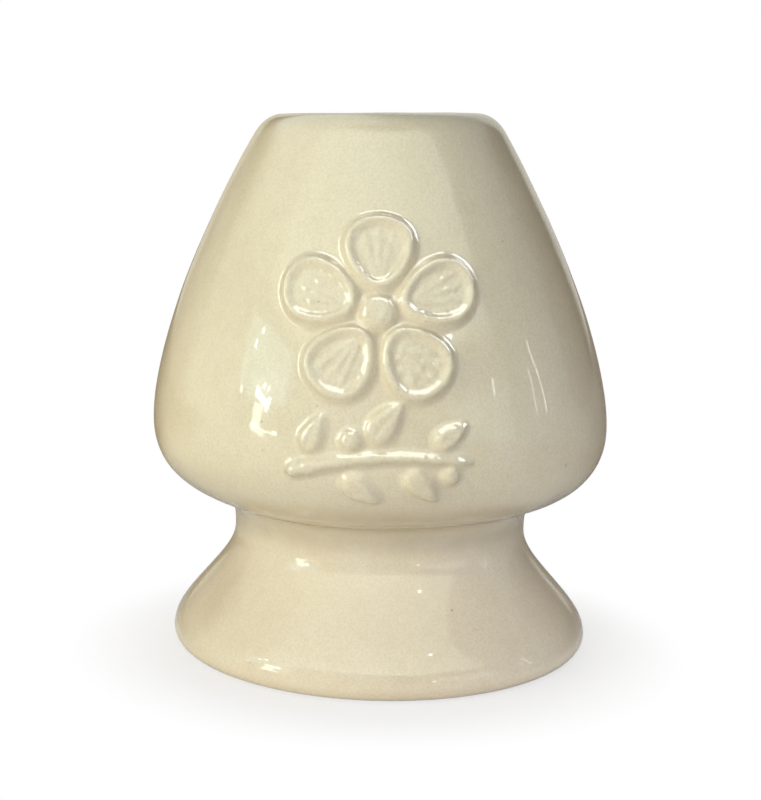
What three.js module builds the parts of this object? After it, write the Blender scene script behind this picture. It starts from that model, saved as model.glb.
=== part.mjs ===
// Tea whisk holder: a hollow glazed bulb on a flared ring foot, with a blossom and a twig in relief.
// Millimetres, +Z up. The origin is the centre of the foot's flat ring, and the relief faces -Y.
import * as THREE from "three";

// Driving sizes of the two thrown forms
const footHeight = 20.1;
const footRadius = 27.65;
const footEdgeHeight = 2.5;
const ringOuterRadius = 24.3;
const ringInnerRadius = 21.5;
const ringBevel = 0.6;
const waistRadius = 19.35;
const collarHeight = 3.8;
const bulbHeight = 50.7;
const bellyRadius = 30;
const bellyRise = 10.4;
const rimRadius = 16.25;
const rimDrop = 2.35;
const mouthRadius = 11.2;
const lipRound = 1.1;
const wall = 3.3;

// Driving sizes of the relief
const seatGap = 0.3;
const sprigClearance = 0.3;
const heartRadius = 2.2;
const heartHeight = 1.4;
const petalLength = 9.4;
const petalWidth = 8.2;
const petalClearance = 0.4;
const petalEdgeHeight = 0.6;
const petalBrimHeight = 1.2;
const petalDishHeight = 0.7;
const twigSpan = 22;
const twigBow = 1.4;
const stemWidth = 1.7;
const stemHeight = 1;
const leafLength = 5.7;
const leafWidth = 3.1;
const leafHeight = 0.95;
const leafClearance = 0.3;
const budRadius = 1.25;
const budHeight = 1;

// How finely round forms are cut
const turnSteps = 64;
const curveSteps = 10;
const roundSteps = 4;
const petalSteps = 20;
const leafSteps = 14;
const stemSteps = 18;
const petalCount = 5;

// Curves of the outline: how far each handle reaches over the height or width that its curve spans
const flareShares = { edge: 0.28, collar: 0.33 };
const undersideShares = { out: 0.05, up: 0.045, belly: 0.86 };
const shoulderShares = { belly: 0.27, inward: 0.4, down: 0.25 };
const rimShares = { corner: 0.6, crest: 0.37 };
const lipLandShare = 0.12;

// The relief's pads are rings drawn in towards their middle: size of each ring, from the edge inwards
const petalRingShares = { edge: 1, brimOuter: 0.9, brimInner: 0.76, dish: 0.5 };
const crownRingShares = { edge: 1, shoulder: 0.82, crown: 0.45 };
const crownHeightShares = { edge: 0.45, shoulder: 0.85, crown: 0.98 };
const underRingShare = 0.5;
const petalTaperShare = 0.2;
const leafTaperShare = 0.45;
const stemTipShare = 0.45;
const stemShoulderShare = 0.7;

// Leaves and buds: where each springs from along the stem, its side, its lean and its own size
const leafShares = [
  { along: 0.13, side: 1, lean: 0.28, size: 0.82 },
  { along: 0.3, side: -1, lean: 0.25, size: 0.9 },
  { along: 0.47, side: 1, lean: 0.26, size: 1 },
  { along: 0.66, side: -1, lean: 0.24, size: 0.86 },
  { along: 0.8, side: 1, lean: 0.2, size: 0.74 },
];
const budShares = [
  { along: 0.37, side: 1, size: 1 },
  { along: 0.9, side: -1, size: 0.85 },
];

// Materials: one glaze over the wall, a little paler where it lies thin over the relief
function glaze(name, color, roughness) {
  const material = new THREE.MeshStandardMaterial({ color, roughness, metalness: 0 });
  material.name = name;
  return material;
}

const wallGlaze = () => glaze("ivory_glaze", 0xe6dfc6, 0.14);
const footGlaze = () => glaze("foot_glaze", 0xe3d6bf, 0.16);
const reliefGlaze = () => glaze("relief_glaze", 0xeae4cf, 0.14);

function mesh(name, geometry, material) {
  const piece = new THREE.Mesh(geometry, material);
  piece.name = name;
  return piece;
}

// Outline helpers: a profile is a list of points (radius, height)
const at = (radius, height) => new THREE.Vector2(radius, height);

function bezier(start, startHandle, endHandle, end, steps) {
  return new THREE.CubicBezierCurve(start, startHandle, endHandle, end).getPoints(steps);
}

function quarterRound(centre, acrossRadius, upRadius, from, to) {
  return new THREE.EllipseCurve(
    centre.x, centre.y, acrossRadius, upRadius, from, to, to < from,
  ).getPoints(roundSteps);
}

function withoutRepeats(points) {
  return points.filter((point, i) => i === 0 || point.distanceTo(points[i - 1]) > 0);
}

function tangentAt(points, i) {
  const before = points[Math.max(i - 1, 0)];
  const after = points[Math.min(i + 1, points.length - 1)];
  return after.clone().sub(before).normalize();
}

// The outline moved in by the wall, so that the clay is as thick all over
function insetOutline(points, thickness) {
  return points.map((point, i) => {
    const tangent = tangentAt(points, i);
    return at(point.x - tangent.y * thickness, point.y + tangent.x * thickness);
  });
}

// A closed profile turned about +Z
function turned(profile) {
  const closed = withoutRepeats([...profile, profile[0].clone()]);
  const geometry = new THREE.LatheGeometry(closed, turnSteps);
  geometry.rotateX(Math.PI / 2);
  return geometry;
}

// Foot: a flared skirt, hollow from below, that ends in a straight collar at the waist
const collarFoot = footHeight - collarHeight;

function flareOutline() {
  const rise = collarFoot - footEdgeHeight;
  return bezier(
    at(footRadius, footEdgeHeight),
    at(footRadius, footEdgeHeight + rise * flareShares.edge),
    at(waistRadius, collarFoot - rise * flareShares.collar),
    at(waistRadius, collarFoot),
    curveSteps,
  );
}

function footProfile() {
  const flare = flareOutline();
  const lowerEdge = quarterRound(
    at(ringOuterRadius, footEdgeHeight), footRadius - ringOuterRadius, footEdgeHeight, -Math.PI / 2, 0,
  );
  const inside = insetOutline(flare, wall).filter((point) => point.x < ringInnerRadius);
  const below = inside[0];
  return [
    ...lowerEdge,
    ...flare,
    at(waistRadius, footHeight),
    at(waistRadius - wall, footHeight),
    ...inside.reverse(),
    at(ringInnerRadius, below.y - (ringInnerRadius - below.x)),
    at(ringInnerRadius, ringBevel),
    at(ringInnerRadius + ringBevel, 0),
  ];
}

// Bulb: seated on the collar, in its own frame, whose zero is the seam at the waist
function undersideOutline() {
  const reach = bellyRadius - waistRadius;
  return bezier(
    at(waistRadius, 0),
    at(waistRadius + reach * undersideShares.out, bellyRise * undersideShares.up),
    at(bellyRadius, bellyRise * (1 - undersideShares.belly)),
    at(bellyRadius, bellyRise),
    curveSteps,
  );
}

const rimHeight = bulbHeight - rimDrop;

function shoulderOutline() {
  const rise = rimHeight - bellyRise;
  const reach = bellyRadius - rimRadius;
  return bezier(
    at(bellyRadius, bellyRise),
    at(bellyRadius, bellyRise + rise * shoulderShares.belly),
    at(rimRadius + reach * shoulderShares.inward, rimHeight - rise * shoulderShares.down),
    at(rimRadius, rimHeight),
    curveSteps,
  );
}

const bulbOutline = withoutRepeats([...undersideOutline(), ...shoulderOutline()]);

function rimOutline(crestRadius) {
  const slope = tangentAt(bulbOutline, bulbOutline.length - 1);
  const shoulderReach = slope.x * (rimDrop / slope.y) * rimShares.corner;
  return bezier(
    at(rimRadius, rimHeight),
    at(rimRadius + shoulderReach, rimHeight + rimDrop * rimShares.corner),
    at(crestRadius + (rimRadius - crestRadius) * rimShares.crest, bulbHeight),
    at(crestRadius, bulbHeight),
    roundSteps,
  );
}

function bulbProfile() {
  const lipInner = mouthRadius + lipRound;
  const lipOuter = lipInner + (rimRadius - lipInner) * lipLandShare;
  const lip = quarterRound(
    at(lipInner, bulbHeight - lipRound), lipRound, lipRound, Math.PI / 2, Math.PI,
  );
  const underside = tangentAt(undersideOutline(), 0);
  const seam = quarterRound(
    at(waistRadius, 0), wall, wall, Math.PI / 2 + Math.atan2(underside.y, underside.x), Math.PI,
  );
  const inside = insetOutline(bulbOutline, wall)
    .slice(1)
    .filter((point) => point.y < bulbHeight - lipRound - wall);
  return [...bulbOutline, ...rimOutline(lipOuter), ...lip, ...inside.reverse(), ...seam];
}

// The bulb's wall unrolled: a place is given as a distance across, a distance up the outline and a lift
const outlineLengths = bulbOutline.reduce((lengths, point, i) => {
  const step = i === 0 ? 0 : point.distanceTo(bulbOutline[i - 1]);
  return [...lengths, step + (i === 0 ? 0 : lengths[i - 1])];
}, []);

function lengthAtRise(rise) {
  const i = bulbOutline.findIndex((point) => point.y >= rise);
  const share = (rise - bulbOutline[i - 1].y) / (bulbOutline[i].y - bulbOutline[i - 1].y);
  return THREE.MathUtils.lerp(outlineLengths[i - 1], outlineLengths[i], share);
}

function outlineAt(length) {
  const last = bulbOutline.length - 2;
  const i = Math.min(Math.max(outlineLengths.findIndex((far) => far >= length) - 1, 0), last);
  const share = (length - outlineLengths[i]) / (outlineLengths[i + 1] - outlineLengths[i]);
  const tangent = tangentAt(bulbOutline, i).lerp(tangentAt(bulbOutline, i + 1), share).normalize();
  return { point: bulbOutline[i].clone().lerp(bulbOutline[i + 1], share), tangent };
}

function placeOnWall(aboveBelly) {
  const datum = lengthAtRise(bellyRise) + aboveBelly;
  return (across, up, lift) => {
    const { point, tangent } = outlineAt(datum + up);
    const azimuth = across / point.x;
    const radius = point.x + tangent.y * lift;
    const height = point.y - tangent.x * lift;
    return new THREE.Vector3(radius * Math.sin(azimuth), -radius * Math.cos(azimuth), height);
  };
}

// Joins rings of points into one closed skin: the first and last entries are single end points
function skin(firstEnd, rings, lastEnd) {
  const count = rings[0].length;
  const positions = [firstEnd, ...rings.flat(), lastEnd].flatMap((point) => point.toArray());
  const faces = [];
  const vertex = (ring, i) => 1 + ring * count + (i % count);
  for (let i = 0; i < count; i += 1) {
    faces.push(0, vertex(0, i), vertex(0, i + 1));
    faces.push(1 + rings.length * count, vertex(rings.length - 1, i + 1), vertex(rings.length - 1, i));
    for (let ring = 0; ring + 1 < rings.length; ring += 1) {
      faces.push(vertex(ring, i), vertex(ring + 1, i), vertex(ring + 1, i + 1));
      faces.push(vertex(ring, i), vertex(ring + 1, i + 1), vertex(ring, i + 1));
    }
  }
  const geometry = new THREE.BufferGeometry();
  geometry.setAttribute("position", new THREE.Float32BufferAttribute(positions, 3));
  geometry.setIndex(faces);
  geometry.computeVertexNormals();
  return geometry;
}

// A pad of clay laid on the wall: its edge is drawn in to each ring, lifted, and closed underneath
function pad(edge, middle, rings, crown, toWall) {
  const ringOf = ({ size, lift }) => edge.map((point) => {
    const drawn = middle.clone().lerp(point, size);
    return toWall(drawn.x, drawn.y, lift);
  });
  const over = rings.map(ringOf).reverse();
  const under = [1, underRingShare].map((size) => ringOf({ size, lift: seatGap }));
  return skin(
    toWall(middle.x, middle.y, crown),
    [...over, ...under],
    toWall(middle.x, middle.y, seatGap),
  );
}

// Relief outlines, each drawn along its own axis and then turned and shifted to its place
function rounded(steps, shape) {
  return Array.from({ length: steps }, (_, i) => shape((i / steps) * 2 * Math.PI));
}

function turnedTo(points, angle, shift) {
  const origin = at(0, 0);
  return points.map((point) => point.clone().rotateAround(origin, angle).add(shift));
}

const petalReach = heartRadius + petalClearance + petalLength / 2;

function petalGeometry(angle, toWall) {
  const outline = rounded(petalSteps, (t) => at(
    (petalLength / 2) * Math.cos(t),
    (petalWidth / 2) * Math.sin(t) * (1 + petalTaperShare * Math.cos(t)),
  ));
  const middle = at(petalReach, 0).rotateAround(at(0, 0), angle);
  const rings = [
    { size: petalRingShares.edge, lift: petalEdgeHeight },
    { size: petalRingShares.brimOuter, lift: petalBrimHeight },
    { size: petalRingShares.brimInner, lift: petalBrimHeight },
    { size: petalRingShares.dish, lift: petalDishHeight },
  ];
  return pad(turnedTo(outline, angle, middle), middle, rings, petalDishHeight, toWall);
}

function crownedRings(height) {
  return Object.keys(crownRingShares).map((ring) => ({
    size: crownRingShares[ring],
    lift: seatGap + (height - seatGap) * crownHeightShares[ring],
  }));
}

function roundPad(middle, radius, height, toWall) {
  const outline = rounded(leafSteps, (t) => at(radius * Math.cos(t), radius * Math.sin(t)));
  return pad(turnedTo(outline, 0, middle), middle, crownedRings(height), height, toWall);
}

// The stem's middle line, from its left end, and the direction in which it runs there
function stemPoint(along) {
  return at((along - 1 / 2) * twigSpan, twigBow * (Math.sin(along * Math.PI) + along - 1));
}

function stemDirection(along) {
  const rise = twigBow * (Math.PI * Math.cos(along * Math.PI) + 1);
  return at(twigSpan, rise).normalize();
}

function stemHalfWidth(along) {
  return (stemWidth / 2) * (1 - (1 - stemTipShare) * along);
}

function stemGeometry(toWall) {
  const shoulderLift = seatGap + (stemHeight - seatGap) * crownHeightShares.shoulder;
  const crossSection = [
    { side: 1, lift: seatGap },
    { side: 0, lift: seatGap },
    { side: -1, lift: seatGap },
    { side: -stemShoulderShare, lift: shoulderLift },
    { side: 0, lift: stemHeight },
    { side: stemShoulderShare, lift: shoulderLift },
  ];
  const rings = Array.from({ length: stemSteps + 1 }, (_, i) => {
    const along = i / stemSteps;
    const middle = stemPoint(along);
    const direction = stemDirection(along);
    return crossSection.map(({ side, lift }) => {
      const reach = side * stemHalfWidth(along);
      return toWall(middle.x - direction.y * reach, middle.y + direction.x * reach, lift);
    });
  });
  const halfLift = (seatGap + stemHeight) / 2;
  const endPoint = (along) => toWall(stemPoint(along).x, stemPoint(along).y, halfLift);
  return skin(endPoint(0), rings, endPoint(1));
}

function leafGeometry({ along, side, lean, size }, toWall) {
  const length = leafLength * size;
  const width = leafWidth * size;
  const direction = stemDirection(along);
  const angle = Math.atan2(direction.y, direction.x) + side * lean * Math.PI;
  const root = stemPoint(along).add(
    at(-direction.y, direction.x).multiplyScalar(side * (stemHalfWidth(along) + leafClearance)),
  );
  const halfRoot = (width / 2) * Math.cos(lean * Math.PI);
  const start = root.add(at(-direction.y, direction.x).multiplyScalar(side * halfRoot));
  const middle = start.clone().add(at((length / 2) * Math.cos(angle), (length / 2) * Math.sin(angle)));
  const outline = rounded(leafSteps, (t) => at(
    (length / 2) * Math.cos(t),
    (width / 2) * Math.sin(t) * (1 - leafTaperShare * Math.cos(t)),
  ));
  return pad(turnedTo(outline, angle, middle), middle, crownedRings(leafHeight), leafHeight, toWall);
}

function budGeometry({ along, side, size }, toWall) {
  const radius = budRadius * size;
  const direction = stemDirection(along);
  const reach = side * (stemHalfWidth(along) + leafClearance + radius);
  const middle = stemPoint(along).add(at(-direction.y, direction.x).multiplyScalar(reach));
  return roundPad(middle, radius, budHeight * size, toWall);
}

// The blossom's lower petals stand clear of the tallest leaf that can grow from the stem
const stemReach = stemWidth / 2 + leafClearance + leafLength;
const blossomReach = petalReach * Math.cos(Math.PI / petalCount) + petalLength / 2;

function blossom() {
  const group = new THREE.Group();
  const toWall = placeOnWall(stemReach + sprigClearance + blossomReach);
  for (let i = 0; i < petalCount; i += 1) {
    const angle = Math.PI / 2 - (i / petalCount) * 2 * Math.PI;
    group.add(mesh(`blossom_petal_${i + 1}`, petalGeometry(angle, toWall), reliefGlaze()));
  }
  group.add(mesh("blossom_heart", roundPad(at(0, 0), heartRadius, heartHeight, toWall), reliefGlaze()));
  return group;
}

function twig() {
  const group = new THREE.Group();
  const toWall = placeOnWall(0);
  group.add(mesh("twig_stem", stemGeometry(toWall), reliefGlaze()));
  leafShares.forEach((leaf, i) => {
    group.add(mesh(`twig_leaf_${i + 1}`, leafGeometry(leaf, toWall), reliefGlaze()));
  });
  budShares.forEach((bud, i) => {
    group.add(mesh(`twig_bud_${i + 1}`, budGeometry(bud, toWall), reliefGlaze()));
  });
  return group;
}

// The holder: the foot stands at zero, and the bulb with its relief is seated on the foot's collar
const holder = new THREE.Group();
holder.name = "tea_whisk_holder";
holder.add(mesh("foot", turned(footProfile()), footGlaze()));

const upper = new THREE.Group();
upper.position.z = footHeight;
upper.add(mesh("bulb", turned(bulbProfile()), wallGlaze()));
upper.add(blossom(), twig());
holder.add(upper);

export default holder;
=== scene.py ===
"""Tea whisk holder: a hollow glazed bulb on a flared ring foot, with a blossom and a twig in relief."""

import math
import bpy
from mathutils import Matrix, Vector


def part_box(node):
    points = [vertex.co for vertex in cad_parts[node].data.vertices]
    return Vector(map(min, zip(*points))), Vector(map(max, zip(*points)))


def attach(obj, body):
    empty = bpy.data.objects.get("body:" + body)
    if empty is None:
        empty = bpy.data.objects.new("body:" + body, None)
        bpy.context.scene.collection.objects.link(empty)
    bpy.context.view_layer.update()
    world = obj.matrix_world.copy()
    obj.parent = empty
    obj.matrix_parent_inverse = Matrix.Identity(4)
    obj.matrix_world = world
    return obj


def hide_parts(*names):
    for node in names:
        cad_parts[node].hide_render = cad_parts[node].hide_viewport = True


bl_info = {
    "name": "Tea whisk holder",
    "version": (1, 0, 0),
    "blender": (4, 5, 0),
    "location": "View3D > Sidebar > Whisk holder",
    "description": "Builds a glazed ceramic tea whisk holder with a blossom and a twig in relief",
    "category": "Add Mesh",
}

from types import SimpleNamespace
from typing import NamedTuple

import bpy
import numpy as np
from bpy.props import FloatProperty, FloatVectorProperty, IntProperty, PointerProperty
from mathutils import Matrix, Vector

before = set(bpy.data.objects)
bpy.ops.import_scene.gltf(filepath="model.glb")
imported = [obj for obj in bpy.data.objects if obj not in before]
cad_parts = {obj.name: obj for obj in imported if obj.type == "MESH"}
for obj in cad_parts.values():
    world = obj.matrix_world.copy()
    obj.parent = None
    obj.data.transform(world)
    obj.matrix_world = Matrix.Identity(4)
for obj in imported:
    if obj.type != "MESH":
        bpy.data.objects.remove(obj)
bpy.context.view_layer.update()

BODY = "root"
MM = 0.001

# The thrown sizes that the frame gives, in millimetres
FOOT_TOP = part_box("foot")[1].z / MM
FOOT_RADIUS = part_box("foot")[1].x / MM
BULB_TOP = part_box("bulb")[1].z / MM
BELLY_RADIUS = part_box("bulb")[1].x / MM

# Curves of the outline: how far each handle reaches over the height or width that its curve spans
FLARE_SHARES = {"edge": 0.28, "collar": 0.33}
UNDERSIDE_SHARES = {"out": 0.05, "up": 0.045, "belly": 0.86}
SHOULDER_SHARES = {"belly": 0.27, "inward": 0.4, "down": 0.25}
RIM_SHARES = {"corner": 0.6, "crest": 0.37}
LIP_LAND_SHARE = 0.12
CURVE_STEPS = {"flare": 200, "underside": 300, "shoulder": 600, "rim": 80}

# Spacing of the points along the turned pieces, in millimetres
SPACING = {"bulb": 0.35, "bulb_inside": 0.9, "foot": 0.3, "foot_inside": 0.8}

# Inside, in millimetres: how far the lip runs down, how the foot's wall turns down to its ring, the
# heights between there and the ring's edge, and the steps over the ring's flat
LIP_NECK = (0, 1.2)
TURN_IN = {"out": (0.9, -1.0), "over": 1.4, "down": 3}
RING_WALL = (2.5, 1.4)
RING_FLAT = (0.7, 1.4)

# Points of the outline further out than this, in millimetres, aren't on the collar
COLLAR_SIDE = 22

# The crease over the collar: how far along the outline the glaze softens it, and how much darker glaze is
# painted there, partly glaze that gathers in the crease and partly painted shade on the collar and under the
# belly.
# That rises from below the crease, falls above it, and is less in a narrow notch at the crease
CREASE_REACH = 2.5
CREASE_POOL_AND_SHADE = {"below": 4.2, "rise": 3.4, "above": 6.5, "fall": 6, "notch": 0.6, "notch_reach": 1.3}

# How thick the glaze stands and how it is shaded, from 0 where it has run off and is painted paler as a
# highlight to 1 where it stands thickest and is painted darker as shade, and what adds to it. The inside is
# set thicker, so darker
PLAIN_LEVEL = 0.5
INNER_LEVEL = 0.7
POOL_AND_SHADING_SHARES = {"fine": 0.03, "broad": 0.5, "gathered_and_shade": 0.46}

# Relief: tapers of the outlines, and where leaves and buds spring from along the stem
PETALS = 5
PETAL_TAPER_SHARE = 0.2
LEAF_TAPER_SHARE = 0.45
STEM_TIP_SHARE = 0.45
STEM_STEPS = 120
STEM_KNOT = {"reach": 0.025, "height": 0.16}
STEM_ENDS = {"root": 0.04, "tip": 0.06, "least": 0.05}
LEAF_SHARES = (
    {"along": 0.13, "side": 1, "lean": 0.28, "size": 0.82},
    {"along": 0.3, "side": -1, "lean": 0.25, "size": 0.9},
    {"along": 0.47, "side": 1, "lean": 0.26, "size": 1.0},
    {"along": 0.66, "side": -1, "lean": 0.24, "size": 0.86},
    {"along": 0.8, "side": 1, "lean": 0.2, "size": 0.74},
)
BUD_SHARES = (
    {"along": 0.37, "side": 1, "size": 1.0},
    {"along": 0.9, "side": -1, "size": 0.85},
)

# Relief: the share of its height that a form has at its outline, how far inside it the glazed edge still
# rises, in millimetres, and how far over half of its width a leaf rises to its crown
EDGE_SHARES = {"petal": 0.5, "leaf": 0.45, "stem": 0.4, "boss": 0.4}
RISE_INSIDE = 0.35
LEAF_CROWN_SHARE = 0.8

# The groove along a leaf, in millimetres. A petal's dish by its bead, and its veins: how far they fan
# out over its width, half of their width in millimetres, and where they fade over its length
LEAF_GROOVE = {"half": 0.22, "from": 0.15, "over": 0.4}
PETAL_DISH = {"from": 0.45, "over": 0.62}
PETAL_VEINS = {"fan": 0.27, "half": 0.24, "root": 0.08, "root_over": 0.2, "tip": 0.9, "tip_over": 0.3}


def size(name, description, millimetres):
    """A length that a user may change, kept in metres"""
    return FloatProperty(
        name=name, description=description, default=millimetres * MM, unit="LENGTH", precision=5,
    )


def colour(name, description, red, green, blue):
    """A colour that a user may change, in linear light"""
    return FloatVectorProperty(
        name=name, description=description, default=(red, green, blue), subtype="COLOR", min=0, max=1,
    )


def share(name, description, value):
    """A plain number that a user may change"""
    return FloatProperty(name=name, description=description, default=value)


def angle(name, description, radians):
    """An angle that a user may change"""
    return FloatProperty(name=name, description=description, default=radians, subtype="ANGLE")


class HolderThrowing(bpy.types.PropertyGroup):
    """Sizes of the bulb and the foot, and how they came out of the kiln"""

    waist_radius: size("Waist radius", "Radius of the straight collar", 19.35)
    collar_height: size("Collar height", "Straight length under the bulb", 3.8)
    edge_height: size("Foot edge", "Height of the foot's rounded lower edge", 2.5)
    ring_outer: size("Ring outside", "Outer radius of the flat ring", 24.3)
    ring_inner: size("Ring inside", "Inner radius of the flat ring", 21.5)
    ring_bevel: size("Ring bevel", "Radius of the ring's inner edge", 0.6)
    belly_rise: size("Belly rise", "Height of the belly over the seam", 10.4)
    rim_radius: size("Rim radius", "Radius of the shoulder at the rim", 16.25)
    rim_drop: size("Rim drop", "Height that the rim's shoulder spans", 2.35)
    mouth_radius: size("Mouth radius", "Radius of the opening", 11.2)
    lip_round: size("Lip round", "Radius of the lip's inner edge", 1.1)
    wall: size("Wall", "Thickness of the clay", 3.3)
    edge: size("Edge", "How far the glaze softens an edge", 0.42)
    crease: size("Crease", "How far the glaze softens the crease over the collar", 1.9)
    # The darker band in the crease and the paler band on edges, partly pooling glaze and partly painted
    # shade and highlight, spread over this half width
    pool_and_shading_width: size("Pool width", "Half the width of the glaze that gathers in the crease", 3.2)
    seam_drop: size("Seam drop", "How far the glaze of the bulb reaches down the collar", 0.9)
    lean: share("Lean", "Sideways shift of the axis for each unit of height", -0.020)
    rim_tilt: share("Rim tilt", "Rise of the rim for each unit across", 0.020)
    turn_steps: IntProperty(name="Turn steps", description="Faces round the pot", default=320, min=24)


class HolderRelief(bpy.types.PropertyGroup):
    """Sizes of the blossom and the twig"""

    heart_radius: size("Heart radius", "Radius of the blossom's heart", 2.2)
    heart_height: size("Heart height", "Height of the heart over the wall", 1.4)
    petal_length: size("Petal length", "Length of a petal", 9.4)
    petal_width: size("Petal width", "Width of a petal", 8.2)
    petal_clearance: size("Petal clearance", "Gap from the heart to a petal", 0.4)
    petal_brim: size("Petal brim", "Height of a petal's rounded brim", 1.22)
    petal_dish: size("Petal dish", "Height of a petal's hollow middle", 0.58)
    petal_bead: size("Petal bead", "Width of the rounded bead along a petal's brim", 1.5)
    vein: size("Vein", "Height of a petal's veins", 0.2)
    sprig_clearance: size("Sprig clearance", "Gap from the tallest leaf to the petals", 0.3)
    twig_span: size("Twig span", "Length of the stem", 22)
    twig_bow: size("Twig bow", "How far the stem bows", 1.4)
    stem_width: size("Stem width", "Width of the stem at its root", 1.7)
    stem_height: size("Stem height", "Height of the stem over the wall", 1.05)
    leaf_length: size("Leaf length", "Length of the largest leaf", 5.7)
    leaf_width: size("Leaf width", "Width of the largest leaf", 3.1)
    leaf_height: size("Leaf height", "Height of a leaf's crown", 0.98)
    leaf_vein: size("Leaf vein", "Depth of the groove along a leaf", 0.2)
    leaf_clearance: size("Leaf clearance", "Gap from the stem to a leaf", 0.3)
    bud_radius: size("Bud radius", "Radius of the larger bud", 1.25)
    bud_height: size("Bud height", "Height of a bud over the wall", 1.05)
    fillet: size("Fillet", "Width of the glaze that runs off an edge onto the wall", 0.85)
    grain: size("Grain", "Spacing of the relief's vertices", 0.14)


class HolderGlaze(bpy.types.PropertyGroup):
    """Colours of the glaze and the clay; the darker pooling colour is partly painted shade, the paler edge
    colour partly a painted highlight
    """

    glaze: colour("Glaze", "Glaze over the bulb", 0.805, 0.713, 0.487)
    low: colour("Low glaze", "Glaze low on the foot, which the clay warms a little", 0.805, 0.682, 0.474)
    # Darker colour: partly glaze that pools, and partly painted shade in the crease, under the belly, in the
    # relief's hollows and inside the pot
    deep: colour("Deep glaze", "Where the glaze has pooled", 0.60, 0.50, 0.335)
    # Paler colour: partly glaze run off convex edges, and partly a painted highlight on those edges
    thin: colour("Thin glaze", "Where the glaze has run off an edge", 0.86, 0.80, 0.63)
    speck: colour("Speck", "Iron specks in the clay", 0.22, 0.13, 0.07)
    clay: colour("Clay", "Bare fired clay", 0.70, 0.60, 0.47)


class HolderStudio(bpy.types.PropertyGroup):
    """The camera's place and the light"""

    distance: size("Camera distance", "How far in front the camera stands", 230)
    height: size("Camera height", "How high the camera stands", 71.86)
    lens: share("Lens", "Focal length on a 36 mm frame, in millimetres", 78.79)
    pitch: angle("Pitch", "How far the camera looks down", 0.167)
    yaw: angle("Yaw", "How far the camera looks to the left", 0.0025)
    roll: angle("Roll", "How far the camera's right side is raised", 0.023)
    key: share("Key light", "Brightness of the broad soft lamps, as a share of their own", 1.0)
    fill: share("Fill light", "Brightness of the room", 0.1)


SETTINGS = {
    "holder_throwing": HolderThrowing,
    "holder_relief": HolderRelief,
    "holder_glaze": HolderGlaze,
    "holder_studio": HolderStudio,
}


def setting_names(settings):
    """The names of a group's settings"""
    return [name for name in settings.bl_rna.properties.keys() if name not in ("rna_type", "name")]


def lengths_of(settings):
    """The settings' values, with the lengths in millimetres"""
    values = SimpleNamespace()
    for name in setting_names(settings):
        value = getattr(settings, name)
        is_length = settings.bl_rna.properties[name].unit == "LENGTH"
        setattr(values, name, value / MM if is_length else value)
    return values


# Outline of the pot: points (radius, height) in millimetres

def bezier(start, first, second, end, steps):
    """Points along a cubic curve"""
    t = np.linspace(0, 1, steps)[:, None]
    start, first, second, end = (np.array(p, float) for p in (start, first, second, end))
    return (1 - t) ** 3 * start + 3 * (1 - t) ** 2 * t * first + 3 * (1 - t) * t**2 * second + t**3 * end


def quarter_round(centre, across, up, start, end, steps=40):
    """Points along part of an ellipse"""
    t = np.linspace(start, end, steps)
    return np.stack([centre[0] + across * np.cos(t), centre[1] + up * np.sin(t)], axis=1)


def lengths_along(points):
    """Distance of each point from the first, measured along the line"""
    return np.concatenate([[0], np.cumsum(np.linalg.norm(np.diff(points, axis=0), axis=1))])


def spaced(points, step):
    """The line again, with its points an even step apart"""
    along = lengths_along(points)
    count = max(int(round(along[-1] / step)), 2)
    places = np.linspace(0, along[-1], count + 1)
    return np.stack([np.interp(places, along, points[:, k]) for k in (0, 1)], axis=1)


def bell(spread, step=1.0):
    """Weights of a soft average, and the number of steps that it reaches to each side"""
    reach = int(math.ceil(3 * spread / step))
    weights = np.exp(-0.5 * (np.arange(-reach, reach + 1) * step / spread) ** 2)
    return weights / weights.sum(), reach


def lengths_between(start, end, step):
    """Evenly spaced lengths from start to end"""
    return np.linspace(start, end, int(round(abs(end - start) / step)) + 1)


def softened(points, spread, step):
    """The evenly spaced line with its creases and edges rounded, as glaze rounds them"""
    weights, reach = bell(spread, step)
    before = 2 * points[0] - points[reach:0:-1]
    after = 2 * points[-1] - points[-2 : -reach - 2 : -1]
    padded = np.concatenate([before, points, after])
    return np.stack([np.convolve(padded[:, k], weights, "valid") for k in (0, 1)], axis=1)


def outward(points):
    """The direction square to the line at each point, on its right-hand side"""
    run = np.gradient(points, axis=0)
    run /= np.linalg.norm(run, axis=1)[:, None]
    return np.stack([run[:, 1], -run[:, 0]], axis=1)


def smooth_step(values):
    """Rises softly from 0 to 1"""
    t = np.clip(values, 0, 1)
    return t * t * (3 - 2 * t)


def foot_curves(t):
    """The foot's rounded edge and its flare up to the collar"""
    collar_foot = FOOT_TOP - t.collar_height
    rise = collar_foot - t.edge_height
    edge = quarter_round(
        (t.ring_outer, t.edge_height), FOOT_RADIUS - t.ring_outer, t.edge_height, -math.pi / 2, 0,
    )
    flare = bezier(
        (FOOT_RADIUS, t.edge_height),
        (FOOT_RADIUS, t.edge_height + rise * FLARE_SHARES["edge"]),
        (t.waist_radius, collar_foot - rise * FLARE_SHARES["collar"]),
        (t.waist_radius, collar_foot),
        CURVE_STEPS["flare"],
    )
    return [edge, flare[1:]]


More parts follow.
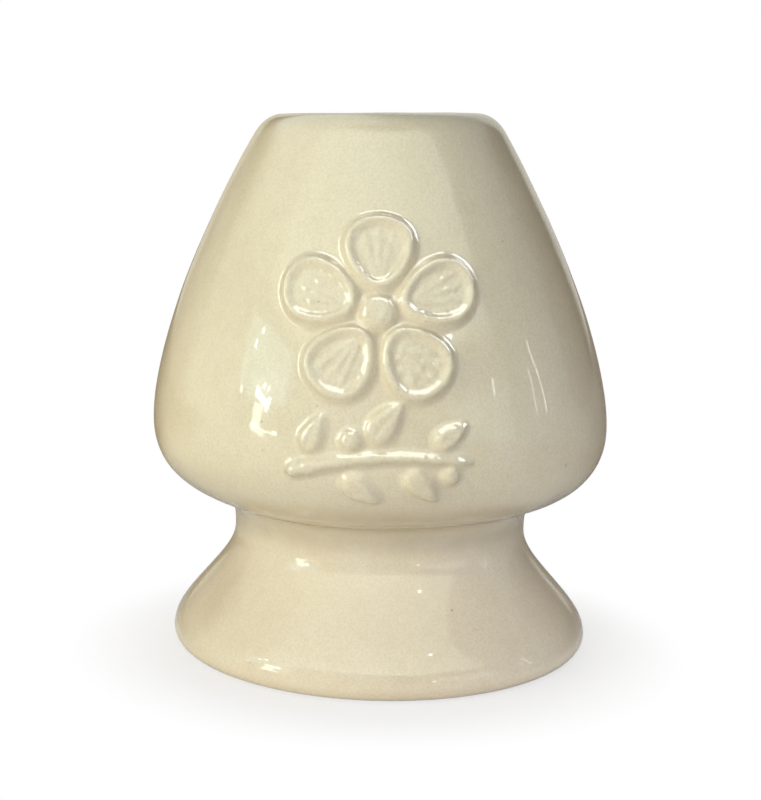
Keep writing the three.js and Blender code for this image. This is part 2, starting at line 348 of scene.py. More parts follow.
def belly_curves(t):
    """The bulb's underside and its long shoulder up to the rim"""
    reach = BELLY_RADIUS - t.waist_radius
    belly = FOOT_TOP + t.belly_rise
    underside = bezier(
        (t.waist_radius, FOOT_TOP),
        (t.waist_radius + reach * UNDERSIDE_SHARES["out"], FOOT_TOP + t.belly_rise * UNDERSIDE_SHARES["up"]),
        (BELLY_RADIUS, belly - t.belly_rise * UNDERSIDE_SHARES["belly"]),
        (BELLY_RADIUS, belly),
        CURVE_STEPS["underside"],
    )
    rim_height = BULB_TOP - t.rim_drop
    rise = rim_height - belly
    inward = (BELLY_RADIUS - t.rim_radius) * SHOULDER_SHARES["inward"]
    shoulder = bezier(
        (BELLY_RADIUS, belly),
        (BELLY_RADIUS, belly + rise * SHOULDER_SHARES["belly"]),
        (t.rim_radius + inward, rim_height - rise * SHOULDER_SHARES["down"]),
        (t.rim_radius, rim_height),
        CURVE_STEPS["shoulder"],
    )
    return [underside[1:], shoulder[1:]]


def rim_curves(t, run):
    """Over the rim from the shoulder, which ends in the direction of run, and down into the mouth"""
    rim_height = BULB_TOP - t.rim_drop
    lip_inner = t.mouth_radius + t.lip_round
    crest = lip_inner + (t.rim_radius - lip_inner) * LIP_LAND_SHARE
    corner = run * (t.rim_drop / run[1]) * RIM_SHARES["corner"]
    over_rim = bezier(
        (t.rim_radius, rim_height),
        (t.rim_radius + corner[0], rim_height + corner[1]),
        (crest + (t.rim_radius - crest) * RIM_SHARES["crest"], BULB_TOP),
        (crest, BULB_TOP),
        CURVE_STEPS["rim"],
    )
    lip = quarter_round((lip_inner, BULB_TOP - t.lip_round), t.lip_round, t.lip_round, math.pi / 2, math.pi)
    return [over_rim[1:], lip]


class Outline:
    """The outer outline from the foot's ring to the lip, finely sampled"""

    step = 0.05
    slip = {"step": 0.1, "spread": 1.2}

    def __init__(self, throwing):
        crease_point = (throwing.waist_radius, FOOT_TOP)
        bulb = belly_curves(throwing)
        rim = rim_curves(throwing, bulb[-1][-1] - bulb[-1][-2])
        line = spaced(np.concatenate([*foot_curves(throwing), [crease_point], *bulb, *rim]), self.step)
        along = lengths_along(line)
        crease = int(np.argmin(np.linalg.norm(line - crease_point, axis=1)))
        near = np.exp(-(((along - along[crease]) / CREASE_REACH) ** 2))[:, None]
        crisp = softened(line, throwing.edge, self.step)
        soft = softened(line, throwing.crease, self.step)
        self.points = crisp * (1 - near) + soft * near
        self.lengths = lengths_along(self.points)
        self.directions = outward(self.points)
        self.pool = self.pooled_and_shaded(self.lengths - self.lengths[crease], throwing.pool_and_shading_width)
        self.belly = self.lengths[int(np.argmax(self.points[:, 0]))]
        off_collar = self.points[:, 0] > COLLAR_SIDE
        top = int(np.argmin(np.where(off_collar, np.inf, np.abs(self.points[:, 1] - FOOT_TOP))))
        self.seam = float(np.interp(FOOT_TOP - throwing.seam_drop, self.points[:top, 1], self.lengths[:top]))

    def pooled_and_shaded(self, past, spread):
        """How thick the glaze stands along the outline, and how it is shaded: 0.5 is plain, 1 is thickest
        glaze with painted shade in the crease and under the belly, and 0 is glaze run off an edge with a
        painted highlight
        """
        turn = np.gradient(np.unwrap(np.arctan2(self.directions[:, 1], self.directions[:, 0])))
        bends = -turn / self.step
        weights, reach = bell(spread, self.step)
        broad = np.convolve(np.pad(bends, reach, mode="edge"), weights, "valid")
        # Painted shade on the collar and under the belly, partly glaze that gathers in the crease
        gathered_and_shade = smooth_step((past + CREASE_POOL_AND_SHADE["below"]) / CREASE_POOL_AND_SHADE["rise"])
        gathered_and_shade *= 1 - smooth_step((past - CREASE_POOL_AND_SHADE["above"]) / CREASE_POOL_AND_SHADE["fall"])
        gathered_and_shade *= 1 - CREASE_POOL_AND_SHADE["notch"] * np.exp(-((past / CREASE_POOL_AND_SHADE["notch_reach"]) ** 2))
        added = (("fine", bends), ("broad", broad), ("gathered_and_shade", gathered_and_shade))
        return PLAIN_LEVEL + sum(POOL_AND_SHADING_SHARES[name] * values for name, values in added)

    def at(self, lengths):
        """Radius, height and outward direction at lengths along the outline"""
        values = [np.interp(lengths, self.lengths, row) for row in (*self.points.T, *self.directions.T)]
        return values[:2], values[2:]

    def inner(self, wall):
        """The inside of the wall, from the ring up to the lip, softened by the slip that was poured off"""
        inset = self.points - self.directions * wall
        return softened(spaced(inset, self.slip["step"]), self.slip["spread"], self.slip["step"])


# How a hand-made pot differs from its drawing: waves with their lengths and heights in millimetres

RIPPLES = (
    {"count": 7, "length": (26, 44), "height": 0.045},
    {"count": 10, "length": (7, 12), "height": 0.0055},
    {"count": 12, "length": (3.2, 5), "height": 0.0011},
)
PEBBLES = (
    {"count": 14, "length": (0.8, 1.5), "height": 0.0075},
)
RIPPLE_SEED = 11
STILL_HEIGHT = 4


def ripple(points, bands=RIPPLES):
    """Slow and fine waves in the clay and the glaze, as a distance off the wall at each place. They fade
    towards the ring that the pot stands on"""
    draw = np.random.default_rng(RIPPLE_SEED)
    total = np.zeros(points.shape[:-1])
    for band in bands:
        for _ in range(band["count"]):
            way = draw.normal(size=3)
            way /= np.linalg.norm(way)
            wave = 2 * math.pi / draw.uniform(*band["length"])
            total += band["height"] * np.sin(points @ way * wave + draw.uniform(0, 2 * math.pi))
    return total * np.clip(points[..., 2] / STILL_HEIGHT, 0, 1)


def settled(points, throwing):
    """Leans the pot a little and sets its rim a little out of level"""
    x, y, z = (points[..., k] for k in range(3))
    belly = FOOT_TOP + throwing.belly_rise
    tilt = throwing.rim_tilt * smooth_step((z - belly) / (BULB_TOP - belly))
    return np.stack([x + throwing.lean * z, y, z + tilt * x], axis=-1)


def on_wall(outline, throwing, across, lengths, lift):
    """Places over the outer wall: distance across from the front, length up the outline and lift"""
    (radius, height), (out, up) = outline.at(lengths)
    azimuth = across / radius
    base = np.stack([radius * np.sin(azimuth), -radius * np.cos(azimuth), height], axis=-1)
    way = np.stack([out * np.sin(azimuth), -out * np.cos(azimuth), up], axis=-1)
    return settled(base + way * (lift + ripple(base))[..., None], throwing)


# Mesh helpers

SHARP_ANGLE = math.radians(40)
SEAM_REACH = {"turn": 0.01, "up": 0.1}


def placed(name, data):
    """A new object in the scene"""
    made = bpy.data.objects.new(name, data)
    bpy.context.scene.collection.objects.link(made)
    return made


def new_piece(name, points, faces, material, pool, normals):
    """A mesh object from points in millimetres, riding on the pot's body. Its pooling value says how thick
    the glaze stands at each point, with painted shade where it is thickest and a painted highlight where it
    has run off, and normals of zero length are left to the mesh"""
    mesh = bpy.data.meshes.new(name)
    mesh.from_pydata((np.asarray(points) * MM).tolist(), [], faces)
    mesh.polygons.foreach_set("use_smooth", [True] * len(mesh.polygons))
    mesh.set_sharp_from_angle(angle=SHARP_ANGLE)
    mesh.attributes.new("glaze_pool", "FLOAT", "POINT").data.foreach_set("value", pool)
    mesh.normals_split_custom_set(normals)
    mesh.materials.append(material)
    mesh.update()
    if mesh.validate():
        raise RuntimeError(f"{name} has faulty faces")
    piece = placed(name, mesh)
    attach(piece, BODY)
    return piece


def revolved(profile, ways, throwing):
    """A closed profile turned about the axis: the points and faces of the pot's wall"""
    steps = throwing.turn_steps
    azimuths = np.arange(steps) * 2 * math.pi / steps
    sine, cosine = np.sin(azimuths)[None], np.cos(azimuths)[None]
    radius, height = profile[:, 0][:, None], profile[:, 1][:, None]
    base = np.stack([radius * sine, -radius * cosine, height + 0 * sine], axis=-1)
    out, up = ways[:, 0][:, None], ways[:, 1][:, None]
    way = np.stack([out * sine, -out * cosine, up + 0 * sine], axis=-1)
    points = settled(base + way * ripple(base)[..., None], throwing)
    rings = len(profile)
    ring, turn = np.meshgrid(np.arange(rings), np.arange(steps), indexing="ij")
    next_ring, next_turn = (ring + 1) % rings, (turn + 1) % steps
    corners = [ring * steps + turn, ring * steps + next_turn,
               next_ring * steps + next_turn, next_ring * steps + turn]
    faces = np.stack(corners, axis=-1).reshape(-1, 4).tolist()
    return points.reshape(-1, 3), faces


def ring_normals(outline, throwing, length):
    """Directions square to the wall, once round at one length of the outline"""
    azimuths = np.arange(throwing.turn_steps) * 2 * math.pi / throwing.turn_steps

    def ring(at, turn):
        radius = float(outline.at(at)[0][0])
        return on_wall(outline, throwing, (azimuths + turn) * radius, np.full_like(azimuths, at), 0.0)

    across = ring(length, SEAM_REACH["turn"]) - ring(length, -SEAM_REACH["turn"])
    up = ring(length + SEAM_REACH["up"], 0) - ring(length - SEAM_REACH["up"], 0)
    normal = np.cross(across, up)
    return normal / np.linalg.norm(normal, axis=1, keepdims=True)


def turned_piece(name, outline, lengths, inner, throwing, material):
    """A closed turned piece from its lengths along the outline and its inner line, which no wave moves.
    Both pieces take the same normals at the seam, so that the glaze runs over it"""
    outer, outer_ways = outline.at(lengths)
    profile = np.concatenate([np.stack(outer, axis=1), inner])
    ways = np.concatenate([np.stack(outer_ways, axis=1), np.zeros_like(inner)])
    pool = np.interp(lengths, outline.lengths, outline.pool)
    pool = np.concatenate([pool, np.full(len(inner), INNER_LEVEL)])
    points, faces = revolved(profile, ways, throwing)
    steps = throwing.turn_steps
    square = ring_normals(outline, throwing, outline.seam)
    loops = np.zeros((len(profile), steps, 4, 3))
    ring, corners = (0, (0, 1)) if lengths[0] == outline.seam else (len(lengths) - 2, (3, 2))
    for corner, turned in zip(corners, (square, np.roll(square, -1, axis=0))):
        loops[ring, :, corner] = turned
    pool = np.repeat(np.clip(pool, 0, 1), steps)
    return new_piece(name, points, faces, material, pool, loops.reshape(-1, 3).tolist())


def bulb_piece(throwing, material):
    """The bulb, from its seam on the collar over the rim to the lip and down its inside"""
    outline = Outline(throwing)
    lengths = lengths_between(outline.seam, outline.lengths[-1], SPACING["bulb"])
    inner = outline.inner(throwing.wall)
    below_lip = inner[:, 1] < BULB_TOP - throwing.lip_round - throwing.wall
    above_seam = inner[:, 1] >= FOOT_TOP - throwing.seam_drop
    inside = spaced(inner[below_lip & above_seam], SPACING["bulb_inside"])[::-1]
    lip = outline.points[-1]
    neck = bezier(lip, lip - LIP_NECK, inside[0] + (inside[0] - inside[1]), inside[0], 8)
    line = np.concatenate([neck[1:-1], inside])
    piece = turned_piece("bulb_wall", outline, lengths, line, throwing, material)
    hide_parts("bulb")


def foot_piece(throwing, material):
    """The foot, from its flat ring up the flare to the seam and down its hollow inside"""
    outline = Outline(throwing)
    lengths = lengths_between(0, outline.seam, SPACING["foot"])
    inner = outline.inner(throwing.wall)
    ring, bevel = throwing.ring_inner, throwing.ring_bevel
    inside = inner[(inner[:, 1] < FOOT_TOP - throwing.seam_drop) & (inner[:, 0] < ring)]
    low = inside[0]
    above, foot = ((ring, low[1] - TURN_IN[place]) for place in ("over", "down"))
    turn_in = bezier(low, low + TURN_IN["out"], above, foot, 10)
    wall_down = np.array([(ring, height) for height in (*RING_WALL, bevel)])
    ring_edge = quarter_round((ring + bevel, bevel), bevel, bevel, math.pi, 1.5 * math.pi, 7)
    ring_flat = np.array([(ring + bevel + step, 0) for step in RING_FLAT])
    inside = spaced(inside, SPACING["foot_inside"])[::-1]
    line = np.concatenate([inside, turn_in[1:], wall_down, ring_edge[1:], ring_flat])
    piece = turned_piece("foot_flare", outline, lengths, line, throwing, material)
    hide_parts("foot")


# Relief: outlines drawn over the unrolled wall, with the belly at zero and the front's middle at zero

class Sprig(NamedTuple):
    """One applied form: its outline, middle, length and width in millimetres, and its axis' angle"""

    name: str
    form: str
    angle: float
    middle: np.ndarray
    outline: np.ndarray
    length: float
    width: float
    height: float


def rotated(points, angle):
    """Points turned about zero"""
    cosine, sine = math.cos(angle), math.sin(angle)
    return points @ np.array([[cosine, sine], [-sine, cosine]])


def blossom_rise(relief):
    """Height of the blossom's middle over the belly, clear of the tallest leaf"""
    reach = relief.heart_radius + relief.petal_clearance + relief.petal_length / 2
    below = reach * math.cos(math.pi / PETALS) + relief.petal_length / 2
    stem = relief.stem_width / 2 + relief.leaf_clearance + relief.leaf_length
    return stem + relief.sprig_clearance + below


def tapered_oval(length, width, taper, steps=96):
    """Points round an oval whose far end is wider by its taper, or narrower if that is below zero"""
    t = np.linspace(0, 2 * math.pi, steps, endpoint=False)
    return np.stack([length / 2 * np.cos(t), width / 2 * np.sin(t) * (1 + taper * np.cos(t))], axis=1)


def petal_sprig(number, relief):
    """One petal, with its wide end away from the heart"""
    angle = math.pi / 2 - number / PETALS * 2 * math.pi
    length, width = relief.petal_length, relief.petal_width
    reach = relief.heart_radius + relief.petal_clearance + length / 2
    middle = rotated(np.array([[reach, 0]]), angle)[0] + (0, blossom_rise(relief))
    outline = rotated(tapered_oval(length, width, PETAL_TAPER_SHARE), angle) + middle
    return Sprig(f"blossom_petal_{number + 1}", "petal", angle, middle, outline, length, width,
                 relief.petal_brim)


def round_sprig(name, middle, radius, height):
    """A round boss, such as the heart or a bud"""
    outline = tapered_oval(2 * radius, 2 * radius, 0) + middle
    return Sprig(name, "boss", 0, np.array(middle), outline, 2 * radius, 2 * radius, height)


def stem_point(along, relief):
    """Middle line of the stem"""
    rise = relief.twig_bow * (np.sin(along * math.pi) + along - 1)
    return np.stack([(along - 0.5) * relief.twig_span, rise], axis=-1)


def stem_way(along, relief):
    """Direction in which the stem runs"""
    rise = relief.twig_bow * (math.pi * np.cos(along * math.pi) + 1)
    way = np.stack([relief.twig_span + 0 * rise, rise], axis=-1)
    return way / np.linalg.norm(way, axis=-1, keepdims=True)


def stem_half(along, relief):
    """Half of the stem's width, which tapers to its tip"""
    return relief.stem_width / 2 * (1 - (1 - STEM_TIP_SHARE) * along)


def stem_sprig(relief):
    """The stem, a little thicker where each leaf springs from it, with rounded ends"""
    along = np.linspace(0, 1, STEM_STEPS)
    knots = sum(np.exp(-(((along - leaf["along"]) / STEM_KNOT["reach"]) ** 2)) for leaf in LEAF_SHARES)
    half = stem_half(along, relief) * (1 + STEM_KNOT["height"] * knots)
    root = np.clip(along / STEM_ENDS["root"], STEM_ENDS["least"], 1)
    half *= np.sqrt(root * np.clip((1 - along) / STEM_ENDS["tip"], STEM_ENDS["least"], 1))
    way = stem_way(along, relief)
    side = np.stack([-way[:, 1], way[:, 0]], axis=1)
    line = stem_point(along, relief)
    outline = np.concatenate([line - side * half[:, None], (line + side * half[:, None])[::-1]])
    middle = line[STEM_STEPS // 2]
    return Sprig("twig_stem", "stem", 0, middle, outline, relief.twig_span, relief.stem_width,
                 relief.stem_height)


def beside_stem(along, side, off, relief):
    """A place at a distance off one side of the stem"""
    way = stem_way(along, relief)
    beside = np.array([-way[1], way[0]]) * side
    return stem_point(along, relief) + beside * (stem_half(along, relief) + relief.leaf_clearance + off)


def leaf_sprig(number, relief):
    """One leaf, which springs from the stem at its lean"""
    leaf = LEAF_SHARES[number]
    length, width = relief.leaf_length * leaf["size"], relief.leaf_width * leaf["size"]
    lean = leaf["lean"] * math.pi
    way = stem_way(leaf["along"], relief)
    angle = math.atan2(way[1], way[0]) + leaf["side"] * lean
    root = beside_stem(leaf["along"], leaf["side"], width / 2 * math.cos(lean), relief)
    middle = root + length / 2 * np.array([math.cos(angle), math.sin(angle)])
    outline = rotated(tapered_oval(length, width, -LEAF_TAPER_SHARE), angle) + middle
    return Sprig(f"twig_leaf_{number + 1}", "leaf", angle, middle, outline, length, width,
                 relief.leaf_height)


def bud_sprig(number, relief):
    """One bud, set close to the stem"""
    bud = BUD_SHARES[number]
    radius = relief.bud_radius * bud["size"]
    middle = beside_stem(bud["along"], bud["side"], radius, relief)
    return round_sprig(f"twig_bud_{number + 1}", middle, radius, relief.bud_height * bud["size"])


def all_sprigs(relief):
    """Every sprig of the relief, in the order of the CAD nodes"""
    petals = [petal_sprig(i, relief) for i in range(PETALS)]
    middle = np.array([0, blossom_rise(relief)])
    heart = round_sprig("blossom_heart", middle, relief.heart_radius, relief.heart_height)
    leaves = [leaf_sprig(i, relief) for i in range(len(LEAF_SHARES))]
    buds = [bud_sprig(i, relief) for i in range(len(BUD_SHARES))]
    return [*petals, heart, stem_sprig(relief), *leaves, *buds]


def depth_inside(places, outline):
    """Distance of each place from the outline, above zero inside it"""
    ends = np.roll(outline, -1, axis=0)
    edge = ends - outline
    offset = places[:, None] - outline[None]
    share_along = np.clip((offset * edge).sum(-1) / (edge**2).sum(-1), 0, 1)
    distance = np.sqrt(((offset - share_along[..., None] * edge) ** 2).sum(-1).min(1))
    level = places[:, 1][:, None]
    crosses = (outline[:, 1] <= level) != (ends[:, 1] <= level)
    rise = np.where(edge[:, 1] == 0, 1, edge[:, 1])
    meets = outline[:, 0] + (level - outline[:, 1]) / rise * edge[:, 0]
    inside = (crosses & (places[:, 0][:, None] < meets)).sum(1) % 2 == 1
    return np.where(inside, distance, -distance)


def domed(depth, reach):
    """Rises like a quarter of a circle, from 0 at an outline to 1 at a reach inside it"""
    return np.sqrt(np.clip(1 - (1 - np.clip(depth / reach, 0, 1)) ** 2, 0, 1))


def sprig_height(sprig, places, relief):
    """Height of one sprig over the wall at each place"""
    fillet = relief.fillet
    reach = np.abs(places - sprig.middle).max(1)
    near = reach < max(sprig.length, sprig.width) / 2 + 2 * fillet
    depth = depth_inside(places[near], sprig.outline)
    local = rotated(places[near] - sprig.middle, -sprig.angle)
    half = sprig.width / 2
    domes = {"petal": relief.petal_bead / 2, "leaf": LEAF_CROWN_SHARE * half}
    edge = EDGE_SHARES[sprig.form]
    body = sprig.height * (edge + (1 - edge) * domed(depth, domes.get(sprig.form, half)))
    if sprig.form == "petal":
        body += petal_hollow(depth, local, sprig, relief)
    elif sprig.form == "leaf":
        groove = smooth_step((depth - LEAF_GROOVE["from"]) / LEAF_GROOVE["over"])
        body -= relief.leaf_vein * groove * np.exp(-((local[:, 1] / LEAF_GROOVE["half"]) ** 2))
    height = np.zeros(len(places))
    height[near] = body * smooth_step((depth + fillet) / (fillet + RISE_INSIDE))
    return height


def petal_hollow(depth, local, sprig, relief):
    """A petal's hollow dish, below zero, with the soft veins that run out from its root"""
    dish, vein = PETAL_DISH, PETAL_VEINS
    fall = smooth_step((depth - dish["from"] * relief.petal_bead) / (dish["over"] * relief.petal_bead))
    out = local[:, 0] / sprig.length + 0.5
    fans = [fan * sprig.width * vein["fan"] * out for fan in (-1, 0, 1)]
    veins = sum(np.exp(-(((local[:, 1] - fan) / vein["half"]) ** 2)) for fan in fans)
    veins *= smooth_step((out - vein["root"]) / vein["root_over"])
    veins *= smooth_step((vein["tip"] - out) / vein["tip_over"])
    return (relief.vein * veins - sprig.height + relief.petal_dish) * fall


def blurred(field, spread):
    """A field over the grid, softened both ways by a spread given in grid steps"""
    weights, reach = bell(spread)
    for axis in (0, 1):
        widths = [(reach, reach) if k == axis else (0, 0) for k in (0, 1)]
        padded = np.pad(field, widths, mode="edge")
        field = np.apply_along_axis(lambda row: np.convolve(row, weights, "valid"), axis, padded)
    return field


class ReliefSheet:
    """The whole relief as one soft skin over the wall, from which each sprig takes its own part. Its
    lengths are in millimetres"""

    sunk = 0.35
    blend = 4
    glaze_spread = 0.23
    pool_and_shading_spread = 0.3
    pebbled = {"from": 0.15, "over": 0.4}
    edge = {"sink": 0.012, "height": 0.05, "facing": 0.07, "least": 0.002}
    # Hollows of the relief are painted darker as shade and ridges paler as a highlight, partly as glaze
    # pools and runs off
    pool_and_shading_shares = {"hollow": 0.13, "ridge": 0.05}

    def __init__(self, throwing, relief):
        outline = Outline(throwing)
        self.sprigs = all_sprigs(relief)
        grain = relief.grain
        corners = np.concatenate([sprig.outline for sprig in self.sprigs])
        low, high = corners.min(0) - 2 * relief.fillet, corners.max(0) + 2 * relief.fillet
        across, up = np.meshgrid(np.arange(low[0], high[0], grain), np.arange(low[1], high[1], grain))
        places = np.stack([across.ravel(), up.ravel()], axis=1)
        heights = np.array([sprig_height(sprig, places, relief) for sprig in self.sprigs])
        self.owner = heights.argmax(0).reshape(across.shape)
        total = (heights**self.blend).sum(0) ** (1 / self.blend)
        total = blurred(total.reshape(across.shape), self.glaze_spread / grain)
        flat = np.stack([across, 0 * across, up + FOOT_TOP], axis=-1)
        pebbled = smooth_step((total - self.pebbled["from"]) / self.pebbled["over"])
        self.total = total = total + ripple(flat, PEBBLES) * pebbled

        def skin(lift):
            return on_wall(outline, throwing, across, outline.belly + up, lift)

        self.top = skin(total - self.edge["sink"] * (1 - smooth_step(total / self.edge["height"])))
        self.under = skin(np.full_like(total, -self.sunk))
        mix = smooth_step(total / self.edge["facing"])[..., None]
        normals = self.facing(skin(np.zeros_like(total))) * (1 - mix) + self.facing(skin(total)) * mix
        self.normals = normals / np.linalg.norm(normals, axis=-1, keepdims=True)
        soft = blurred(total, self.pool_and_shading_spread / grain)
        bend = sum(np.gradient(np.gradient(soft, grain, axis=k), grain, axis=k) for k in (0, 1))
        shares = np.where(bend > 0, self.pool_and_shading_shares["hollow"], self.pool_and_shading_shares["ridge"])
        self.pool = np.clip(PLAIN_LEVEL + shares * bend, 0, 1)

    @staticmethod
    def facing(points):
        """Direction square to a grid of points, away from the wall"""
        across, up = np.gradient(points, axis=1), np.gradient(points, axis=0)
        normal = np.cross(across, up)
        return normal / np.linalg.norm(normal, axis=-1, keepdims=True)

    def piece(self, number, material):
        """One sprig: its part of the skin, closed underneath inside the wall"""
        total = self.total
        highest = np.maximum.reduce([total[:-1, :-1], total[1:, :-1], total[:-1, 1:], total[1:, 1:]])
        mine = (highest > self.edge["least"]) & (self.owner[:-1, :-1] == number)
        rows, columns = np.nonzero(mine)
        width = total.shape[1]
        first = rows * width + columns
        quads = np.stack([first, first + 1, first + width + 1, first + width], axis=1)
        used, packed = np.unique(quads, return_inverse=True)
        packed = packed.reshape(quads.shape)
        count = len(used)
        points = np.concatenate([self.top.reshape(-1, 3)[used], self.under.reshape(-1, 3)[used]])
        sides = border_edges(packed)
        walls = np.stack([sides[:, 1], sides[:, 0], sides[:, 0] + count, sides[:, 1] + count], axis=1)
        faces = np.concatenate([packed, packed[:, ::-1] + count, walls])
        top_normals = self.normals.reshape(-1, 3)[used][packed.ravel()]
        loops = np.zeros((faces.size, 3))
        loops[: len(top_normals)] = top_normals
        pool = np.tile(self.pool.ravel()[used], 2)
        name = self.sprigs[number].name
        piece = new_piece(name, points, faces.tolist(), material, pool, loops.tolist())
        relief_collection().objects.link(piece)
        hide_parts(name)


def border_edges(quads):
    """Edges that only one of the faces has, in that face's order"""
    edges = np.concatenate([quads[:, [k, (k + 1) % 4]] for k in range(4)])
    key = edges[:, 0] * (quads.max() + 1) + edges[:, 1]
    back = edges[:, 1] * (quads.max() + 1) + edges[:, 0]
    return edges[~np.isin(back, key)]


# Materials

# Noises: scale in waves for each metre, detail, roughness, distortion and, if there is any, the range
# that each is carried over and what it becomes there
NOISES = {
    "drift": (38, 2.5, 0.55, 0, (0.3, 0.7, -0.5, 0.5)),
    "mottle": (520, 3.5, 0.6, 0.3, (0.25, 0.75, -0.5, 0.5)),
    "clouds": (150, 3, 0.55, 0, (0.3, 0.7, -0.5, 0.5)),
    "grain": (3400, 2, 0.7, 0, (0.3, 0.75, 0.0, 0.42)),
    "gloss": (260, 3, 0.6, 0, (0.3, 0.7, 0.17, 0.25)),
    "peel": (900, 2, 0.5, 0),
    "swell": (240, 1.5, 0.5, 0),
    "clay": (1400, 4, 0.65, 0),
    "wiped": (130, 3, 0.6, 0),
}

# Scattered dots: cells for each metre, largest radius over a cell's width, and the share of bare cells.
# Then, for all of them, how softly the bare cells end, and the least radius and the border over the radius
DOTS = {"coarse": (210, 0.055, 0.72), "fine": (640, 0.1, 0.80), "pits": (330, 0.05, 0.86)}
DOT_LOOK = {"chosen": 0.02, "least": 0.35, "border": 0.5}

# How the pooling and the height carry over to the darker, the paler and the low glaze, and what each
# effect adds. The darker glaze carries painted shade and the paler glaze a painted highlight
DEEP_AND_SHADE_RANGE = (0.54, 1.0, 0.0, 0.85)
THIN_AND_HIGHLIGHT_RANGE = (0.46, 0.05, 0.0, 0.3)
LOW_RANGE = (0.008, 0.034)
EFFECTS = {
    "clouds": 0.5, "drift": 0.16, "drift_height": 0.006, "fine": 0.45, "pits": 1.6, "speck_rough": 0.15,
}
GLAZE_COLOURS = ("Glaze", "Low", "Deep", "Thin", "Speck")
GLAZE_AMOUNTS = {"Specks": 0.5, "Mottling": 0.22, "Peel": 0.2}
RELIEF_PEEL = 0.7

# The ring that the glaze was wiped off: its unevenness, height and soft border, in metres, and the
# clay's roughness and tones
WIPED = {"wave": 0.0005, "height": 0.00002, "border": 0.00012}
CLAY_ROUGH = 0.55
CLAY_TONES = (0.86, 1.12)


def feed(tree, socket, value):
    """Gives an input its value: the output of another node, a colour or a number"""
    if isinstance(value, bpy.types.NodeSocket):
        tree.links.new(value, socket)
    else:
        socket.default_value = (*value, 1) if isinstance(value, tuple) else value


def add_node(tree, kind, inputs=None, **values):
    """A node with its values set and its inputs fed"""
    node = tree.nodes.new(kind)
    for name, value in values.items():
        setattr(node, name, value)
    for name, value in (inputs or {}).items():
        feed(tree, node.inputs[name], value)
    return node


def math_node(tree, operation, *values, clamp=False):
    """A sum of up to three values, each an output or a number"""
    inputs = dict(enumerate(values))
    return add_node(tree, "ShaderNodeMath", operation=operation, use_clamp=clamp, inputs=inputs).outputs[0]


def ranged(tree, value, low, high, start=0.0, end=1.0):
    """A value carried smoothly from one range to another"""
    return add_node(tree, "ShaderNodeMapRange", interpolation_type="SMOOTHSTEP", inputs={
        "Value": value, "From Min": low, "From Max": high, "To Min": start, "To Max": end,
    }).outputs["Result"]


def mixed(tree, factor, first, second):
    """Two colours mixed by a factor"""
    node = add_node(tree, "ShaderNodeMix", data_type="RGBA", clamp_factor=True,
                    inputs={0: factor, 6: first, 7: second})
    return node.outputs[2]


def mixed_shader(tree, factor, first, second):
    """Two shaders mixed by a factor"""
    return add_node(tree, "ShaderNodeMixShader", inputs={0: factor, 1: first, 2: second}).outputs[0]


def object_place(tree):
    """The place on a piece, in metres"""
    return add_node(tree, "ShaderNodeTexCoord").outputs["Object"]


def split(tree, place):
    """The X, Y and Z of a place"""
    return add_node(tree, "ShaderNodeSeparateXYZ", inputs={0: place}).outputs


def noise(tree, place, name):
    """One of the soft noises over the pot"""
    scale, detail, roughness, distortion, *carried = NOISES[name]
    value = add_node(tree, "ShaderNodeTexNoise", inputs={
        "Vector": place, "Scale": scale, "Detail": detail, "Roughness": roughness, "Distortion": distortion,
    }).outputs["Fac"]
    return ranged(tree, value, *carried[0]) if carried else value


def dots(tree, place, name):
    """Scattered small dots: a mask that is 1 in the middle of each"""
    scale, radius, rarity = DOTS[name]
    cells = add_node(tree, "ShaderNodeTexVoronoi", inputs={
        "Vector": place, "Scale": scale, "Randomness": 1.0,
    }).outputs
    parts = add_node(tree, "ShaderNodeSeparateColor", inputs={"Color": cells["Color"]}).outputs
    chosen = ranged(tree, parts[0], rarity, rarity + DOT_LOOK["chosen"])
    wide = math_node(tree, "MULTIPLY_ADD", parts[1], radius, radius * DOT_LOOK["least"])
    near = math_node(tree, "SUBTRACT", wide, cells["Distance"])
    return math_node(tree, "MULTIPLY", ranged(tree, near, 0, radius * DOT_LOOK["border"]), chosen)


